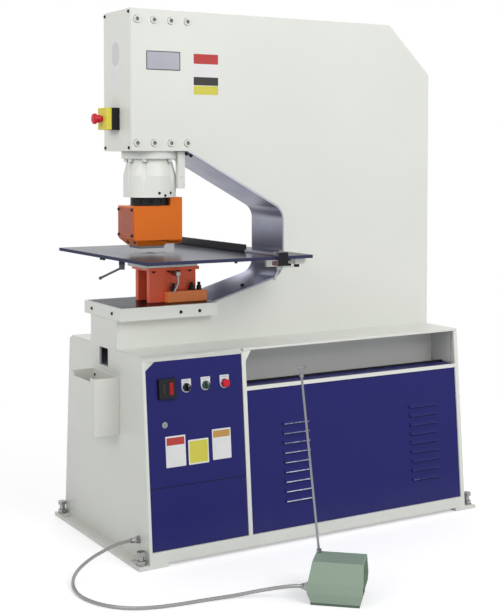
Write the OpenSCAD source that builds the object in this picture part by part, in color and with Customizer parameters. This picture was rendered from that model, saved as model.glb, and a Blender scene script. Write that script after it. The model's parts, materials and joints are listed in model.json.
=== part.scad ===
// Hydraulic C-frame punching ironworker with a deep throat, a work table,
// a sheet-metal base cabinet and a foot switch on a metal conduit.
// X runs along the machine from the operator's end to the back, the control
// side faces -Y and Z is up. The origin lies on the floor, at the centre of
// the four anchor holes in the foot plates.

/* [Frame] */
// Height of the C-frame above the floor
frame_top = 1930; // [1890:5:1980]
// Width over the two side plates
frame_w = 230; // [226:1:232]
// Thickness of each side plate
plate_t = 25; // [20:1:30]
// Length from the head cover to the back of the frame
frame_len = 1345; // [1338:1:1400]
// Underside of the head above the floor
head_z = 1423; // [1421:1:1426]
// Distance from the head cover to the back wall of the throat
throat_x = 637; // [625:1:660]
// Radius of the throat's bends
throat_r = 60; // [40:5:80]

/* [Cylinder and tooling] */
// Distance from the head cover to the punch axis
tool_x = 130; // [126:1:131]
// Bore of the hydraulic cylinder
bore_d = 130; // [110:5:130]
// Diameter of the piston rod
rod_d = 80; // [70:1:80]
// Stroke of the ram
stroke = 50; // [20:1:50]

/* [Table] */
// Height of the table's top face
table_z = 1049; // [1047:1:1052]
// Thickness of the table plate
table_t = 12; // [10:1:12]
// Width of the table across the machine
table_w = 790; // [700:10:820]

/* [Base cabinet] */
// Height of the cabinet lid
lid_z = 718; // [714:1:720]
// Length of the cabinet
base_len = 1388; // [1386:1:1390]
// Half width of the cabinet under its lid
base_half = 321; // [315:1:330]
// How far each side leans outwards, per millimetre of height
base_flare = 0.0844; // [0.06:0.0002:0.09]
// Thickness of the foot plates
foot_t = 14; // [12:1:14]

/* [Hidden] */
$fn = 48;

ivory = [0.87, 0.875, 0.84];
bare_steel = [0.56, 0.56, 0.62];
orange = [0.83, 0.46, 0.17];
red_orange = [0.72, 0.28, 0.2];
deep_blue = [0.19, 0.19, 0.43];
hood_green = [0.55, 0.64, 0.56];
black = [0.06, 0.06, 0.07];
zinc = [0.7, 0.7, 0.68];
signal_red = [0.75, 0.08, 0.1];

eps = 0.01;              // overshoot of a cut past a face
fit = 0.05;              // radial clearance of a running fit
anchor_span = 1440;      // anchor holes, along the machine
anchor_gap = 600;        // anchor holes, across the machine
anchor_x = -80;          // anchor holes at the operator's end
origin_x = anchor_x + anchor_span / 2;
inner_y = frame_w / 2 - plate_t;

// ---- frame outline ----
liner_t = 6;
spine_t = 12;
cover_t = 3;
chamfer_x = frame_len - 200;   // where the sloping back starts
chamfer_z = frame_top - 193;   // where it ends
post_x = -50;                  // front of the lower jaw
post_top = 821;
jaw_x = 330;                   // back of the bolster
jaw_z = 867;
upper_slope = 0.5517;
lower_slope = 0.287;
liner_start = 228;

throat_path = [
  [liner_start, head_z],
  [throat_x, head_z - (throat_x - liner_start) * upper_slope],
  [throat_x, jaw_z + (throat_x - jaw_x) * lower_slope],
  [jaw_x, jaw_z]
];

// ---- cylinder and tooling heights ----
nose_flange_z = head_z - 27;
nose_z = 1255;
guard_z = 1224;
stripper_z = 1077;
nut_z = 1140;
punch_z = 1082;
piston_z = 1730;

// ---- base ----
base_x0 = -58;
base_x1 = base_x0 + base_len;
end_t = 8;
ctrl_x0 = -47;
ctrl_x1 = 335;
side_x0 = 351;
side_x1 = 1313;
bay_z0 = 54;
door_z0 = 268;
door_z1 = 700;
hinge_x = 322;
hinge_depth = 9;
lean = atan(base_flare);

// ---- foot switch ----
pedal_at = [230.7, -927.7];
pedal_turn = -42.2;
pedal_w = 162;
pedal_d = 160;
pedal_h = 124;
pedal_set = 45;
port_at = [30, 48];      // conduit port: depth and height on the hood's end
treadle_axis = [32, 34]; // treadle pin: distance from the end and height

// ---- conduit ----
conduit_d = 12;
gland_len = 32;
route = [
  [-90, -293, 82], [-112, -293, 81], [-138, -295, 79], [-168, -300, 74],
  [-201, -307, 67], [-237, -316, 58], [-272, -327, 46], [-304, -343, 33],
  [-331, -369, 20], [-351, -410, 10], [-362, -461, 6.3], [-363, -516, 6],
  [-351, -569, 6], [-328, -618, 6], [-296, -658, 6], [-253, -690, 6],
  [-196, -712, 6], [-132, -725, 6], [-63, -733, 6], [6, -744, 7],
  [64, -761, 11], [114, -784, 20], [157, -815, 31], [190, -848, 41.5],
  [212, -870.2, 46.8], [227.2, -884, 48]
];

// ================= helpers =================

function left_normal(a, b) = let (d = (b - a) / norm(b - a)) [-d[1], d[0]];

// open path moved sideways by t, with mitred corners
function offset_path(p, t) = [
  for (i = [0 : len(p) - 1])
    let (n0 = i == 0 ? left_normal(p[0], p[1]) : left_normal(p[i - 1], p[i]),
         n1 = i == len(p) - 1 ? n0 : left_normal(p[i], p[i + 1]))
      p[i] + (n0 + n1) / (1 + n0 * n1) * t
];

// corner p between a and b, rounded by r
function fillet(a, p, b, r, n = 6) = r <= 0 ? [p] :
  let (u = (a - p) / norm(a - p), v = (b - p) / norm(b - p),
       half = acos(u * v) / 2, t = r / tan(half),
       c = p + (u + v) / norm(u + v) * r / sin(half),
       s = p + u * t - c, e = p + v * t - c,
       a0 = atan2(s[1], s[0]), turn = (atan2(e[1], e[0]) - a0 + 540) % 360 - 180)
  [for (i = [0 : n]) c + r * [cos(a0 + turn * i / n), sin(a0 + turn * i / n)]];

// path with its inner corners rounded
function rounded(p, r) = [
  for (i = [0 : len(p) - 1])
    each (i == 0 || i == len(p) - 1 ? [p[i]] : fillet(p[i - 1], p[i], p[i + 1], r))
];

function reversed(p) = [for (i = [len(p) - 1 : -1 : 0]) p[i]];

// closed band of thickness t beside an open path
function band(p, t, r = 0) =
  concat(rounded(p, r), reversed(rounded(offset_path(p, t), r + t)));

// half width of the cabinet at height z
function half_at(z) = base_half + (lid_z - 5 - z) * base_flare;

// draws an X-Z outline as a plate from y0 to y1
module xz_plate(y0, y1) {
  translate([0, y1, 0]) rotate([90, 0, 0]) linear_extrude(y1 - y0) children();
}

// draws a Y-Z outline as a plate from x0 to x1
module yz_plate(x0, x1) {
  translate([x0, 0, 0]) rotate([90, 0, 90]) linear_extrude(x1 - x0) children();
}

module block(x0, x1, y0, y1, z0, z1) {
  translate([x0, y0, z0]) cube([x1 - x0, y1 - y0, z1 - z0]);
}

module rod_x(x0, x1, y, z, r) {
  translate([x0, y, z]) rotate([0, 90, 0]) cylinder(h = x1 - x0, r = r);
}

module rod_y(y0, y1, x, z, r) {
  translate([x, y1, z]) rotate([90, 0, 0]) cylinder(h = y1 - y0, r = r);
}

module rod_z(z0, z1, x, y, r) {
  translate([x, y, z0]) cylinder(h = z1 - z0, r = r);
}

// slab parallel to the leaning control side, between two depths below it
module near_slab(x0, x1, z0, z1, d0, d1) {
  yz_plate(x0, x1)
    polygon([[d0 - half_at(z0), z0], [d1 - half_at(z0), z0],
             [d1 - half_at(z1), z1], [d0 - half_at(z1), z1]]);
}

// local frame on the control side: +Z points out, +Y points up the slope
module on_near(x, z) {
  translate([x, -half_at(z), z]) rotate([90 - lean, 0, 0]) children();
}

// local frame of the foot switch: +X along its width, +Y to its back
module at_pedal() {
  translate([pedal_at[0], pedal_at[1], 0]) rotate([0, 0, pedal_turn]) children();
}

module place() {
  translate([-origin_x, 0, 0]) children();
}

// ================= frame =================

throat_back = offset_path(throat_path, liner_t);

cover_screw_y = frame_w / 2 - plate_t / 2;
cover_screw_z = [head_z + 12, frame_top - 12];
head_bolt_x = [26, 93.5, 161, 228];
head_bolt_z = [1452, 1892];
bolt_r = 8;
bolt_head_r = 12.5;
bolt_head_h = 14;

module frame_outline() {
  polygon(concat(
    [[cover_t, frame_top], [chamfer_x, frame_top], [frame_len, chamfer_z],
     [frame_len, foot_t], [post_x, foot_t], [post_x, post_top],
     [throat_back[3][0], post_top]],
    reversed(rounded(throat_back, throat_r + liner_t)),
    [throat_path[0], [cover_t, head_z]]));
}

module frame_plate(side) {
  y0 = side < 0 ? -frame_w / 2 : inner_y;
  color(ivory) difference() {
    xz_plate(y0, y0 + plate_t) frame_outline();
    for (x = head_bolt_x, z = head_bolt_z) {
      rod_y(y0 - eps, y0 + plate_t + eps, x, z, bolt_r + 1);
      rod_y(side < 0 ? y0 - eps : y0 + plate_t - 9,
            side < 0 ? y0 + 9 : y0 + plate_t + eps, x, z, bolt_head_r + 1.5);
    }
    for (z = cover_screw_z)
      rod_x(cover_t - eps, 20, side * cover_screw_y, z, 3 + fit);
  }
}

module frame_plates() {
  frame_plate(-1);
  frame_plate(1);
}

module throat_liner() {
  color(bare_steel) xz_plate(-frame_w / 2, frame_w / 2)
    polygon(band(throat_path, liner_t, throat_r));
}

module spine_plate() {
  path = [[cover_t, frame_top], [chamfer_x, frame_top],
          [frame_len, chamfer_z], [frame_len, foot_t]];
  color(ivory) xz_plate(-inner_y, inner_y) polygon(band(path, -spine_t));
}

nose_bolt_pcr = 88;
nose_bolt_turn = [59, 127.5, 167, 193, 232.5, 301];
nose_bolt_r = 6;
nose_bolt_head = 9;
switch_x = [203, 232];    // limit-switch box beside the nose
switch_y = [-88, -66];
nose_r = 97;             // body of the nose casting
nose_waist_z = 1334;      // where its taper ends
flute_lean = 13;
nose_flange_r = 103;
nose_neck_r = 81;         // under the flange

module cylinder_block() {
  color(bare_steel) difference() {
    xz_plate(-inner_y, inner_y)
      polygon([[8, head_z], [tool_x + 94, head_z], [tool_x + 106, head_z + 14],
               [tool_x + 120, head_z + 14], [tool_x + 120, frame_top - 25],
               [8, frame_top - 25]]);
    rod_z(head_z - eps, 1800, tool_x, 0, bore_d / 2);
    rod_z(1795, frame_top, tool_x, 0, 9);
    for (x = head_bolt_x, z = head_bolt_z, s = [-1, 1])
      rod_y(s < 0 ? -inner_y - eps : inner_y - 20,
            s < 0 ? 20 - inner_y : inner_y + eps, x, z, bolt_r + fit);
    for (a = nose_bolt_turn)
      rod_z(head_z - eps, head_z + 32, tool_x + nose_bolt_pcr * cos(a),
            nose_bolt_pcr * sin(a), nose_bolt_r + fit);
  }
}

module head_cover() {
  color(ivory) difference() {
    block(0, cover_t, -frame_w / 2, frame_w / 2, head_z, frame_top);
    for (z = cover_screw_z, s = [-1, 1])
      rod_x(-eps, cover_t + eps, s * cover_screw_y, z, 3.4);
  }
}

// button-head cap screw, its head's seat at the origin and its shank along +Z
module cover_screw() {
  difference() {
    union() {
      translate([0, 0, -4]) cylinder(h = 4, r1 = 4.6, r2 = 6.5);
      translate([0, 0, -0.01]) cylinder(h = 12, r = 3);
    }
    translate([0, 0, -4 - eps]) cylinder(h = 2.4, r = 2.2, $fn = 6);
  }
}

window_screw_y = 57;
window_screw_z = [1117, 1210];
bolster_screw_x = [175, 252];
bolster_screw_y = [-90, 90];

// Screws of the head's cover, the guard's window and the bolster rim, and the
// studs with nuts that hold the pedestal's feet.
module black_screws() {
  color(black) {
    for (z = cover_screw_z, s = [-1, 1])
      translate([0, s * cover_screw_y, z]) rotate([0, 90, 0]) cover_screw();
    for (z = window_screw_z, s = [-1, 1])
      translate([31, s * window_screw_y, z]) rotate([0, 90, 0]) cover_screw();
    for (x = bolster_screw_x)
      translate([x, -162, 842]) rotate([-90, 0, 0]) cover_screw();
    for (y = bolster_screw_y)
      translate([-64, y, 844]) rotate([0, 90, 0]) cover_screw();
    for (s = [-1, 1], x = feet_bolt_x)
      translate([x, s * feet_bolt_y, bolster_z + 41]) foot_bolt();
  }
}

// hexagon-socket cap screw, its head's seat at the origin and its shank along +Z
module frame_bolt(len, r, head_r, head_h) {
  difference() {
    union() {
      translate([0, 0, -head_h]) cylinder(h = head_h, r = head_r);
      translate([0, 0, -0.01]) cylinder(h = len, r = r);
    }
    translate([0, 0, -head_h - eps]) cylinder(h = 8, r = head_r * 0.64, $fn = 6);
  }
}

module frame_bolts() {
  color(ivory) {
    for (x = head_bolt_x, z = head_bolt_z, s = [-1, 1])
      translate([x, s * (frame_w / 2 - 9), z]) rotate([90 * s, 0, 0])
        frame_bolt(34, bolt_r, bolt_head_r, bolt_head_h);
    for (a = nose_bolt_turn)
      translate([tool_x + nose_bolt_pcr * cos(a), nose_bolt_pcr * sin(a), nose_flange_z])
        frame_bolt(56, nose_bolt_r, nose_bolt_head, 12);
  }
}

// ================= cylinder, ram and guard =================

module nose_casting() {
  flute_r = nose_bolt_head + 2;
  color(ivory) difference() {
    union() {
      rod_z(head_z, head_z + 37, tool_x, 0, bore_d / 2 - fit);
      difference() {
        rod_z(nose_flange_z, head_z, tool_x, 0, nose_flange_r);
        block(switch_x[0] - 0.5, 250, switch_y[0] - 4, switch_y[1] + 0.5, nose_flange_z - 1,
              head_z + 1);
        block(liner_start - 0.5, 250, -60, 60, nose_flange_z - 1, head_z + 1);
      }
      translate([tool_x, 0, nose_waist_z - eps]) rotate(nose_bolt_turn[0])
        cylinder(h = nose_flange_z - nose_waist_z + 2 * eps, r1 = nose_r - 0.4, r2 = nose_neck_r);
      translate([tool_x, 0, nose_z]) rotate(nose_bolt_turn[0])
        cylinder(h = nose_waist_z - nose_z, r = nose_r);
    }
    rod_z(nose_z - eps, head_z + 38, tool_x, 0, rod_d / 2 + fit);
    for (a = nose_bolt_turn)
      translate([tool_x + nose_bolt_pcr * cos(a), nose_bolt_pcr * sin(a), 0]) {
        rod_z(nose_flange_z - eps, head_z + eps, 0, 0, nose_bolt_r + 0.8);
        rod_z(nose_flange_z - 15, nose_flange_z, 0, 0, flute_r);
      }
    // flutes that run out of the bolts' pockets and down the taper
    intersection() {
      rod_z(nose_z, nose_flange_z - 4, tool_x, 0, 140);
      union() for (a = nose_bolt_turn)
        translate([tool_x, 0, nose_flange_z]) rotate([0, 0, a])
          translate([nose_bolt_pcr, 0, 0]) rotate([0, 180 - flute_lean, 0])
            cylinder(h = 110, r = flute_r);
    }
  }
}

module limit_switch_box() {
  x0 = switch_x[0];
  x1 = switch_x[1];
  color(ivory) xz_plate(switch_y[0], switch_y[1])
    polygon([[x0, 1287], [x1, 1287],
             [x1, head_z - max(0, x1 - liner_start) * upper_slope],
             [x0, head_z - max(0, x0 - liner_start) * upper_slope]]);
}

module piston_rod() {
  color(zinc) {
    rod_z(piston_z, piston_z + 60, tool_x, 0, bore_d / 2 - fit);
    rod_z(nut_z + 52, piston_z + eps, tool_x, 0, rod_d / 2);
    rod_z(nut_z + 20, nut_z + 52 + eps, tool_x, 0, 25);
  }
}

module coupling_nut() {
  color(zinc) difference() {
    rod_z(nut_z, nut_z + 52, tool_x, 0, 41);
    rod_z(nut_z + 20, nut_z + 53, tool_x, 0, 25 + fit);
    rod_z(nut_z + 10, nut_z + 20 + eps, tool_x, 0, 23 + fit);
    rod_z(nut_z - eps, nut_z + 10 + eps, tool_x, 0, 16 + fit);
    for (a = [0 : 90 : 270])
      translate([tool_x, 0, 0]) rotate(a) block(37, 42, -5, 5, nut_z - 1, nut_z + 24);
  }
}

module punch() {
  color(zinc) {
    rod_z(nut_z + 10, nut_z + 20, tool_x, 0, 23);
    rod_z(punch_z + 26, nut_z + 10 + eps, tool_x, 0, 16);
    rod_z(punch_z, punch_z + 26 + eps, tool_x, 0, 10.8);
  }
}

module guard_ring() {
  color(black) difference() {
    rod_z(guard_z, nose_z, tool_x, 0, 71);
    rod_z(guard_z - 1, nose_z + 1, tool_x, 0, rod_d / 2 + 1.5);
    for (a = [0 : 30 : 330])
      rod_z(guard_z + 8, nose_z - 6, tool_x + 71 * cos(a + 9), 71 * sin(a + 9), 4);
  }
}

guard_half = 69;
guard_t = 6;

module guard_side() {
  polygon([[34, guard_z], [34, 1106], [62, stripper_z], [168, stripper_z],
           [174, 1094], [180, 1083], [230, 1083], [230, nose_z], [180, nose_z],
           [180, guard_z]]);
}

module stripper_box() {
  color(orange) difference() {
    intersection() {
      xz_plate(-guard_half, guard_half) guard_side();
      yz_plate(30, 232)
        polygon([[-guard_half, nose_z], [-guard_half, 1098], [-48, stripper_z],
                 [48, stripper_z], [guard_half, 1098], [guard_half, nose_z]]);
    }
    // inside of the box
    intersection() {
      xz_plate(guard_t - guard_half, guard_half - guard_t)
        polygon([[40, guard_z - guard_t], [40, 1109], [65, 1083], [176, 1083],
                 [176, guard_z - guard_t]]);
      yz_plate(30, 232)
        polygon([[-63, 1230], [-63, 1100], [-45, 1083], [45, 1083], [63, 1100],
                 [63, 1230]]);
    }
    // channel behind the box, open at its top
    block(182, 224, guard_t - guard_half, guard_half - guard_t, 1089, nose_z + 1);
    // window, ram and punch openings
    block(33, 41, -50, 50, 1124, 1203);
    rod_z(guard_z - 8, guard_z + eps, tool_x, 0, 44);
    rod_z(stripper_z - eps, 1084, tool_x, 0, 30);
    rod_z(guard_z - eps, nose_z + 1, tool_x, 0, 72.5);
    for (z = window_screw_z, s = [-1, 1])
      rod_x(33, 41, s * window_screw_y, z, 3 + fit);
  }
}

module guard_window() {
  color([0.8, 0.75, 0.72, 0.4]) difference() {
    block(31, 34, -65, 65, 1109, 1218);
    for (z = window_screw_z, s = [-1, 1])
      rod_x(30, 35, s * window_screw_y, z, 3.4);
  }
}

module stripper_plate() {
  color(bare_steel) difference() {
    block(68, 166, -46, 46, 1068, stripper_z);
    rod_z(1067, stripper_z + 1, tool_x, 0, 19);
  }
}

// ================= table =================

table_x0 = -70;
table_x1 = 592;
table_half = table_w / 2;
table_under = table_z - table_t;
holder_r = 55;
die_r = 23;
carrier_z = 997;
carrier_y = 72;
front_pivot = [-48, -141];

module table_plate() {
  color(bare_steel) difference() {
    union() {
      block(table_x0, table_x1, -table_half, table_half, table_under, table_z);
      rod_z(table_under - 16, table_under + eps, front_pivot[0], front_pivot[1], 11);
    }
    rod_z(table_under - 1, table_z + 1, tool_x, 0, holder_r + 1.5);
    rod_z(table_under - 17, table_under - 1, front_pivot[0], front_pivot[1], 6 + fit);
  }
}

module table_carrier() {
  color(ivory) difference() {
    block(72, 292, -carrier_y, carrier_y, carrier_z, table_under);
    rod_z(carrier_z - 1, table_under + 1, tool_x, 0, slug_r);
    rod_z(table_under - 18, table_under + 1, tool_x, 0, holder_r + fit);
  }
}

// Brackets on the frame's sides, whose arms carry the table's back end.
module table_arms() {
  color(ivory) for (s = [0, 1]) mirror([0, s, 0])
    difference() {
      union() {
        block(545, 590, -350, -126, table_under - 24, table_under);
        block(560, 704, -127, -frame_w / 2, table_under - 52, table_under);
      }
      for (y = [-325, -270]) rod_z(table_under - 25, table_under + 1, 567, y, 6.5);
    }
}

module die_holder() {
  color(bare_steel) difference() {
    rod_z(table_under - 18, table_z, tool_x, 0, holder_r);
    rod_z(table_z - 20, table_z + 1, tool_x, 0, die_r + fit);
    rod_z(table_under - 19, table_z, tool_x, 0, 18);
  }
}

module die() {
  color(zinc) difference() {
    rod_z(table_z - 20, table_z, tool_x, 0, die_r);
    rod_z(table_z - 21, table_z + 1, tool_x, 0, 11.2);
    rod_z(table_z - 21, table_z - 8, tool_x, 0, 13);
  }
}

fence_x0 = 440;
fence_x1 = 472;
fence_split = -165;
clamp_pivot = [456, 14 - table_half];

module fence_bar() {
  color(black) {
    difference() {
      block(fence_x0, fence_x1, fence_split, table_half + 14, table_z + 0.4, table_z + 28);
      block(fence_x0 + 8, fence_x1 + 1, fence_split - 1, table_half + 15, table_z + 9, table_z + 29);
    }
    block(fence_x0, fence_x1, table_half + 0.5, table_half + 14, table_under - 10, table_z + 1);
    block(fence_x0, fence_x1, table_half - 22, table_half + 1, table_under - 10, table_under - 0.5);
  }
}

module fence_clamp() {
  color(bare_steel) difference() {
    union() {
      block(fence_x0, fence_x1, -table_half - 14, fence_split, table_z + 0.4, table_z + 9);
      block(fence_x0 - 4, fence_x1 + 6, -table_half - 14, 4 - table_half, table_z + 0.4, table_z + 16);
      block(fence_x0 - 4, fence_x1 + 6, -table_half - 14, -table_half - 0.5,
            table_under - 22, table_z + 1);
      block(fence_x0 - 4, fence_x1 + 6, -table_half - 14, 30 - table_half,
            table_under - 22, table_under - 8);
    }
    rod_z(table_under - 23, table_under - 7, clamp_pivot[0], clamp_pivot[1], 6 + fit);
  }
}

// clamping lever: a screw along Z under its head, with an arm that slopes down
module clamp_lever(screw, drop, arm, turn) {
  rod_z(-4, screw, 0, 0, 6);
  rod_z(-16, -0.4, 0, 0, 10);
  rotate([0, 0, turn]) {
    translate([0, 0, -9]) rotate([0, 90 + drop, 0]) cylinder(h = arm, r = 4);
    translate([arm * cos(drop), 0, -9 - arm * sin(drop)]) sphere(r = 6, $fn = 24);
  }
}

module fence_lever() {
  color(zinc) translate([clamp_pivot[0], clamp_pivot[1], table_under - 22])
    clamp_lever(21.5, 62, 42, 180);
}

module front_lever() {
  color(zinc) translate([front_pivot[0], front_pivot[1], table_under - 16])
    clamp_lever(14, 26, 86, 145);
}

side_pivot = [194, 974];
side_lever_y = -98;

module side_lever() {
  color(zinc) {
    rod_y(side_lever_y - 8, -64.4, side_pivot[0], side_pivot[1], 9);
    rod_y(-64.5, -46, side_pivot[0], side_pivot[1], 6);
    translate([side_pivot[0], side_lever_y, side_pivot[1]]) {
      rotate([0, 172, 0]) cylinder(h = 32, r = 4.5);
      translate([4.4, 0, -31.7]) {
        sphere(r = 5.5);
        rotate([0, 208, 0]) cylinder(h = 38, r = 4.5);
      }
    }
  }
}

// ================= pedestal and bolster =================

bolster_z = 868;
feet_x0 = 159;
feet_x1 = 323;
feet_y = [60, 88];
feet_bolt_x = [190, 265, 296];
feet_bolt_y = 74;
slug_r = 36;

module pedestal() {
  color(red_orange) difference() {
    union() {
      block(90, 298, -72, 72, 985, carrier_z);
      block(99, 290, -60, 60, bolster_z, 985 + eps);
    }
    block(98, 265, -36, 36, bolster_z - 1, 985);
    rod_z(984, carrier_z + 1, tool_x, 0, slug_r);
    rod_y(-61, -44, side_pivot[0], side_pivot[1], 6 + fit);
  }
}

module pedestal_feet() {
  color(orange) for (s = [-1, 1])
    difference() {
      block(feet_x0, feet_x1, s < 0 ? -feet_y[1] : feet_y[0], s < 0 ? -feet_y[0] : feet_y[1],
            bolster_z, bolster_z + 41);
      for (x = feet_bolt_x)
        rod_z(bolster_z - 1, bolster_z + 42, x, s * feet_bolt_y, 6.6);
    }
}

// hexagon nut, washer and stud standing on a foot
module foot_bolt() {
  translate([0, 0, 0]) cylinder(h = 3, r = 12);
  translate([0, 0, 2.99]) cylinder(h = 13, r = 10.5, $fn = 6);
  translate([0, 0, -55]) cylinder(h = 84, r = 6);
}

module bolster_rim() {
  color(ivory) difference() {
    block(-64, jaw_x, -162, 162, post_top, bolster_z);
    block(-54, jaw_x - 10, -152, 152, 853, bolster_z + 1);
    rod_z(post_top - 1, 854, tool_x, 0, slug_r);
    for (x = bolster_screw_x) rod_y(-163, -149, x, 842, 3 + fit);
    for (y = bolster_screw_y) rod_x(-65, -51, y, 844, 3 + fit);
  }
}

module bolster_plate() {
  color(bare_steel) difference() {
    block(-54, jaw_x - 10, -152, 152, 853, bolster_z);
    rod_z(852, bolster_z + 1, tool_x, 0, slug_r);
    for (s = [-1, 1], x = feet_bolt_x)
      rod_z(852, bolster_z + 1, x, s * feet_bolt_y, 6 + fit);
  }
}

module slug_chute() {
  color(bare_steel) {
    xz_plate(-inner_y, inner_y)
      polygon([[post_x, 646], [post_x, 642], [205, 796], [205, 800]]);
    for (y = [-44, 41])
      xz_plate(y, y + 3)
        polygon([[post_x, 646 - eps], [205, 800 - eps], [205, 818], [120, 818], [post_x, 715]]);
  }
}

// ================= cabinet =================

wall_t = 5;
rim_t = 5.5;                    // edges of the openings on the control side
lip_t = 3;
web_x = 341.5;                  // web of the post between the bays
window_half = 38;
window_z = [644, 710];

// outline of an end sheet; the near corner is cut to suit the lid's edge there
module end_outline(near_corner) {
  polygon(concat(
    [[-half_at(foot_t), foot_t], [half_at(foot_t), foot_t], [half_at(703.4), 703.4],
     [318.2, 703.4], [294.9, lid_z - 4.1]],
    near_corner, [[-half_at(700), 700]]));
}

module cabinet_shell() {
  wall_x = [post_x - 1, base_x1 - end_t + 1];
  color(ivory) difference() {
    union() {
      // end sheets, the front one running up the lower jaw
      difference() {
        yz_plate(base_x0, base_x0 + end_t) union() {
          end_outline([[-294.9, lid_z - 4.1], [-318.2, 703.4], [-half_at(703.4), 703.4]]);
          translate([-frame_w / 2, lid_z - 5]) square([frame_w, post_top - lid_z + 5]);
        }
        block(base_x0 - 1, base_x0 + end_t + 1, -window_half, window_half, window_z[0], window_z[1]);
      }
      difference() {
        yz_plate(base_x1 - end_t, base_x1)
          end_outline([[4.5 - base_half, lid_z - 4.1], [4.5 - base_half, 709], [-half_at(709), 709]]);
        block(base_x1 - end_t - 1, base_x1 + 1, -frame_w / 2, frame_w / 2, 0, lid_z);
      }
      // far side
      mirror([0, 1, 0]) near_slab(wall_x[0], wall_x[1], foot_t, 703, 0, wall_t);
      // control side: skirt, edges, post between the bays and rail over the panel
      near_slab(wall_x[0], wall_x[1], foot_t, bay_z0, 0, wall_t + lip_t);
      near_slab(wall_x[0], ctrl_x0, bay_z0 - 1, 703, 0, rim_t);
      near_slab(wall_x[0], ctrl_x1 + 1, door_z1, 703, 0, rim_t);
      near_slab(ctrl_x1, side_x0, bay_z0 - 1, 703, 0, rim_t);
      near_slab(side_x0 - 7.9, side_x0, 702, 709, 0, rim_t);
      near_slab(side_x1, wall_x[1], bay_z0 - 1, 709, 0, rim_t);
      near_slab(side_x0 - 1, side_x1 + 1, 566, 580, 0, rim_t);
      // web and gussets of the post
      near_slab(web_x, web_x + 3, bay_z0 - 1, 703, wall_t - 1, 32);
      yz_plate(side_x0 - 6, side_x0 - 3)
        polygon([[wall_t - 1 - half_at(620), 620], [wall_t - 1 - half_at(708), 708],
                 [-230, 708]]);
      intersection() {
        near_slab(side_x0 - 1, side_x0 + 26, 660, 709, 0, rim_t - 0.2);
        xz_plate(-400, -300)
          polygon([[side_x0 - 2, 709], [side_x0 + 23, 709], [side_x0 + 21, 705],
                   [side_x0, 672], [side_x0 - 2, 672]]);
      }
      // hinge brackets of the door
      near_slab(312, web_x + 1, 254, 265.5, rim_t + 0.1, 15);
      near_slab(312, web_x + 1, 700.6, 702.6, wall_t, 14);
    }
    // bores for the door's hinge pins, along the leaning side
    door_axis() translate([0, 0, -30]) cylinder(h = 500, r = 3 + fit);
    rod_x(base_x0 - 1, post_x + 2, -293, 82, 8 + fit);
  }
}

// local frame of the door's hinge: +Z runs up the leaning pin
module door_axis() {
  translate([hinge_x, hinge_depth - half_at(door_z0), door_z0]) rotate([-lean, 0, 0]) children();
}

// Inner frame welded behind the control bay's edges: the door shuts and
// latches against it, and the lower panel is screwed to it.
module door_surround() {
  d = [rim_t, rim_t + lip_t];
  color(ivory) {
    near_slab(post_x + 0.1, -38, bay_z0, 700.5, d[0], d[1]);
    near_slab(-39, 311.9, 688, 700.5, d[0], d[1]);
    near_slab(-39, 311.9, 252, 280, d[0], d[1]);
    near_slab(-39, web_x - 0.1, bay_z0, 68, d[0], d[1]);
  }
}

module lid_half() {
  // over the control bay the lid's edge slopes down to the door
  yz_plate(base_x0, side_x0 - 8)
    polygon([[-frame_w / 2, lid_z], [-296, lid_z], [-half_at(703), 703.5],
             [3.5 - half_at(703), 703.5], [-295, lid_z - 4], [-frame_w / 2, lid_z - 4]]);
  yz_plate(side_x0 - 8, base_x1)
    polygon([[-frame_w / 2, lid_z], [-base_half, lid_z], [-base_half, 709.5],
             [3 - base_half, 709.5], [4 - base_half, lid_z - 4], [-frame_w / 2, lid_z - 4]]);
}

module cabinet_lid() {
  color(ivory) {
    lid_half();
    mirror([0, 1, 0]) yz_plate(base_x0, base_x1)
      polygon([[-frame_w / 2, lid_z], [-296, lid_z], [-half_at(703), 703.5],
               [3.5 - half_at(703), 703.5], [-295, lid_z - 4], [-frame_w / 2, lid_z - 4]]);
  }
}

tray_y = -176;

module side_tray() {
  color(ivory) {
    block(side_x0 - 6, side_x1 + 6, tray_y - 4, tray_y, 560, lid_z - 4);
    block(side_x1 + 3, side_x1 + 6, -300, tray_y - 4 + eps, 582, 708);
    block(side_x0 - 6, side_x0 - 3, -228, tray_y - 4 + eps, 582, 712);
  }
}

louvre_n = 9;
louvre_pitch = 35;
louvre_z0 = 148;
louvre_groups = [[498, 612], [1078, 1214]];

module louvre(x0, x1, z) {
  yz_plate(x0, x1)
    polygon([[rim_t + 0.5 - half_at(z), z], [-2 - half_at(z), z],
             [-1 - half_at(z + 4), z + 4], [rim_t + 0.5 - half_at(z + 14), z + 14]]);
}

module side_panel() {
  color(deep_blue) {
    difference() {
      near_slab(side_x0 - 6, side_x1 + 6, bay_z0 + 0.5, 578, rim_t, rim_t + 3);
      for (g = louvre_groups, i = [0 : louvre_n - 1])
        block(g[0] + 3, g[1] - 3, -400, -300, louvre_z0 + i * louvre_pitch - 3,
              louvre_z0 + i * louvre_pitch + 0.5);
    }
    for (g = louvre_groups, i = [0 : louvre_n - 1])
      louvre(g[0], g[1], louvre_z0 + i * louvre_pitch + 0.5);
    // folded top edge
    yz_plate(side_x0 - 2, side_x1 + 2)
      polygon([[rim_t + 1 - half_at(575), 575], [-251, 575], [-251, 578],
               [rim_t + 1 - half_at(578), 578]]);
  }
}

switch_at = [31, 604];
on_at = [-13, 0];
off_at = [13, 0];
mode_at = [109, 602];
function_at = [185, 603];
stop_at = [261, 603];
lock_at = [18, 481];
door_face = 1.7;
stem_r = 11;

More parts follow.
